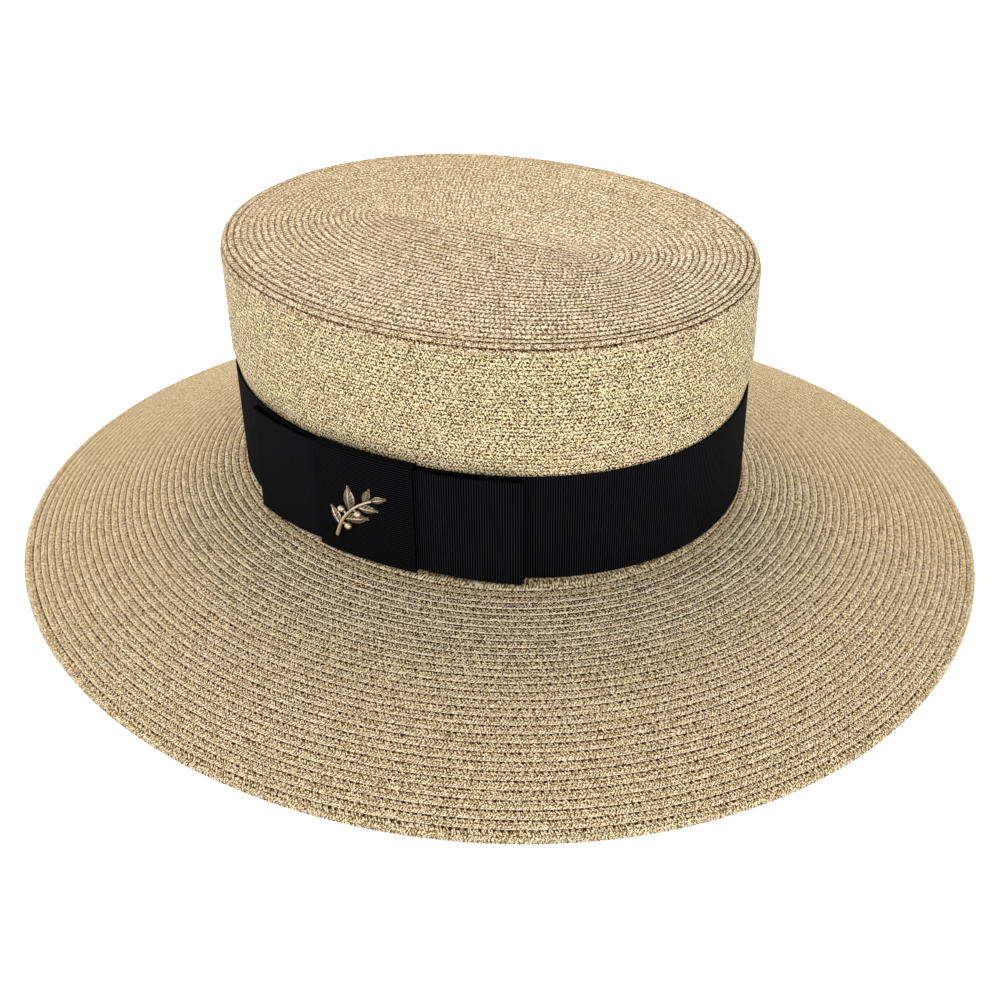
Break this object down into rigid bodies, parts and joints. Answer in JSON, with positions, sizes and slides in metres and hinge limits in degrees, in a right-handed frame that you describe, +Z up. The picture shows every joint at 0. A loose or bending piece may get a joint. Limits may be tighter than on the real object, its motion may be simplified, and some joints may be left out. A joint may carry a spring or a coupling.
{
  "type": "straw boater hat",
  "caption": "Straw boater hat with a flat oval crown, a wide down-curved brim, a black ribbon band with a flat side bow and a small gilt sprig.",
  "frame": {"origin": "middle of the brim's footprint, on the surface the hat stands on", "axes": "+Z up through the crown; -Y is the hat's front and +Y its back, along its longest extent; +X is the wearer's left, where the bow is"},
  "size_m": [0.358, 0.3868, 0.129],
  "materials": {
    "straw": "plaited straw-coloured braid with fine metallic thread, sewn in overlapping rows",
    "ribbon": "black grosgrain ribbon, fine ribs across its length",
    "gilt_metal": "antiqued pale gold, darkened in its grooves"
  },
  "bodies": {
    "root": {"crown_tip": "straw", "crown_side": "straw", "brim": "straw", "ribbon_band": "ribbon", "bow_loop_front": "ribbon", "bow_loop_back": "ribbon", "bow_knot": "ribbon", "sprig": "gilt_metal"}
  },
  "joints": []
}
